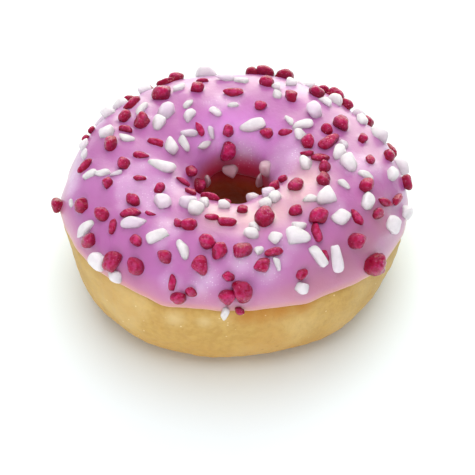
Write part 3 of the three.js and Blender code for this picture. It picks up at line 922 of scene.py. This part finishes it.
# Painted sheen: a creamy pink on the near rim of the hole
glaze = finish.math("MULTIPLY", finish.number("glazed"), 0.85)
orchid = finish.blend(glaze, orchid, colour(224, 178, 188))
pink = finish.blend(finish.between(from_edge, 0.3, 5.0), colour(202, 134, 158), orchid)
rim = finish.blend(finish.between(from_edge, 0.1, 1.5), colour(206, 146, 124), pink)
# Painted shade deep in the hole: a dark crimson
rim = finish.blend(finish.number("in_hole"), rim, colour(196, 42, 86))
# White specks in the sugar drifts, painted as glints
sparkle = finish.math("MULTIPLY", sugar, cover)
finish.feed("Base Color", finish.blend(sparkle, rim, colour(255, 246, 255)))
finish.feed("Roughness", finish.between(film, 0, 1, 0.34, 0.46))
finish.bump(finish.math("ADD", film, sparkle), 0.00003)
finish.shader.inputs["Coat Weight"].default_value = 1.0
finish.shader.inputs["Coat Roughness"].default_value = 0.36
finish.shader.inputs["Coat IOR"].default_value = 1.8
finish.shader.inputs["Specular IOR Level"].default_value = 0.5
finish.shader.inputs["Subsurface Weight"].default_value = 0.5
finish.shader.inputs["Subsurface Radius"].default_value = (1.0, 0.4, 0.9)
finish.shader.inputs["Subsurface Scale"].default_value = 0.0018
icing.data.materials.append(finish.material)

# %% [markdown]
# The red nuggets are freeze-dried fruit, deep raspberry red, with a glossy skin and small pale glints that
# are painted on. The creases and the underside are painted darker as shade, and the tops get a painted
# pink sheen. The mesh keeps numbers that say ridge or crease and top or underside, and one that makes
# each nugget a little lighter or darker than its neighbours.

# %% The red nuggets' material
finish = Finish("dried_fruit")
skin = finish.mask(patches, Scale=1500, Detail=3, From=0.34, To=0.66)
glints = finish.mask(specks, Scale=2300, Size=0.36, Share=0.24)
ridge = finish.between(finish.number("ridge"), 0.35, 0.9)
crown = finish.between(finish.number("crown"), 0.1, 0.9)
red = finish.blend(finish.number("tone"), colour(162, 10, 60), colour(188, 20, 86))
# Painted shade: darker underside, lighter top
red = finish.blend(crown, colour(142, 4, 46), red)
# Painted shade in the creases
crease = finish.math("MULTIPLY", finish.math("SUBTRACT", 1.0, ridge), 0.7)
red = finish.blend(crease, red, colour(130, 2, 36))
# Painted pink sheen on the tops
veil = finish.math("MULTIPLY", skin, finish.math("MULTIPLY", crown, 0.3))
red = finish.blend(veil, red, colour(222, 92, 162))
# Painted glints: small pale specks
red = finish.blend(finish.math("MULTIPLY", glints, 0.45), red, colour(240, 150, 190))
finish.feed("Base Color", red)
finish.feed("Roughness", finish.between(skin, 0, 1, 0.14, 0.24))
finish.bump(skin, 0.00012)
finish.shader.inputs["Specular Tint"].default_value = colour(255, 176, 214)
finish.shader.inputs["Coat Weight"].default_value = 0.35
finish.shader.inputs["Coat Roughness"].default_value = 0.08
finish.shader.inputs["Subsurface Weight"].default_value = 0.35
finish.shader.inputs["Subsurface Radius"].default_value = (1.0, 0.18, 0.28)
finish.shader.inputs["Subsurface Scale"].default_value = 0.001
red_nuggets.data.materials.append(finish.material)

# %% [markdown]
# The white nuggets are pressed sugar, milky and a little see-through, so they need more subsurface light
# than anything else here. A few lie under a film of icing and have taken on its colour, and those deep in
# the hole are painted a dusky red as shade.

# %% The white nuggets' material
finish = Finish("milky_sugar")
chalk = finish.mask(patches, Scale=700, Detail=3, From=0.3, To=0.7)
white = finish.blend(chalk, colour(219, 210, 217), colour(231, 223, 229))
tinted = finish.between(finish.number("tone"), 0.78, 0.9, 0.0, 0.55)
white = finish.blend(tinted, white, colour(214, 184, 216))
# Painted shade on the whites deep in the hole
soaked = finish.math("MULTIPLY", finish.number("soaked"), 0.8)
finish.feed("Base Color", finish.blend(soaked, white, colour(196, 140, 152)))
finish.feed("Roughness", finish.between(chalk, 0, 1, 0.42, 0.55))
finish.bump(chalk, 0.00003)
finish.shader.inputs["Subsurface Weight"].default_value = 0.8
finish.shader.inputs["Subsurface Radius"].default_value = (1.0, 0.9, 1.0)
finish.shader.inputs["Subsurface Scale"].default_value = 0.004
white_nuggets.data.materials.append(finish.material)

# %% [markdown]
# Each piece rides on the model's one body and says which plain solid it stands for. The nuggets were
# fused to the icing in the solids, so the coat and both kinds of nugget stand for that one solid.

# %% Tie the pieces to the model
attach(dough, "root")
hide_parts("dough_ring")
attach(icing, "root")
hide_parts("icing")
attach(red_nuggets, "root")
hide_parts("icing")
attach(white_nuggets, "root")
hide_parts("icing")

# %% [markdown]
# The table and the light. The picture has a white ground without a horizon, and its shadow is dark close
# under the ring and gone a centimetre further out. A small lamp would throw a long, hard one. One very
# large panel overhead does better, because every bit of floor that the ring doesn't hide from it is white
# again. A bright backdrop gives the coat its pale sheen, and a panel in front keeps the flank light. The
# real coat shows only the backdrop's sheen, so the other two panels are kept out of reflections.

# %% The floor
FLOOR_HALF_WIDTH = 1200
FLOOR_DROP = 0.02


def make_floor():
    """One flat square under the ring."""
    corner = FLOOR_HALF_WIDTH * np.array([(-1, -1, 0), (1, -1, 0), (1, 1, 0), (-1, 1, 0)], float)
    floor = make_piece("floor", corner - (0, 0, FLOOR_DROP), [[0, 1, 2, 3]])
    finish = Finish("pale_floor")
    cloud = finish.mask(patches, Scale=8, Detail=2, From=0.2, To=0.8)
    finish.feed("Base Color", finish.blend(cloud, colour(240, 248, 253), colour(243, 250, 254)))
    finish.shader.inputs["Roughness"].default_value = 0.9
    finish.shader.inputs["Specular IOR Level"].default_value = 0.1
    floor.data.materials.append(finish.material)


make_floor()

# %% The lights


def softbox(name, place, width, height, watts, tint=(1, 1, 1)):
    """A flat light at a place in millimetres, facing the ring, and the object that holds it."""
    data = bpy.data.lights.new(name, "AREA")
    data.shape = "RECTANGLE"
    data.size = width * MM
    data.size_y = height * MM
    data.energy = watts
    data.color = tint
    light = bpy.data.objects.new(name, data)
    light.location = Vector(place) * MM
    light.rotation_euler = (Vector((0, 0, 10)) - Vector(place)).to_track_quat("-Z", "Y").to_euler()
    bpy.context.scene.collection.objects.link(light)
    return light


overhead = softbox("overhead", (0, 120, 520), 640, 1000, 4.3)
overhead.visible_glossy = False
softbox("bright_backdrop", (100, 590, 215), 700, 430, 2.5, (0.9, 1.0, 0.76))
front_fill = softbox("front_fill", (-150, -560, 155), 600, 260, 1.75)
front_fill.visible_glossy = False

world = bpy.data.worlds.new("surround")
world.use_nodes = True
world.node_tree.nodes["Background"].inputs["Color"].default_value = (0.985, 1.0, 0.985, 1.0)
world.node_tree.nodes["Background"].inputs["Strength"].default_value = 0.27
bpy.context.scene.world = world
bpy.context.scene.view_settings.view_transform = "Standard"
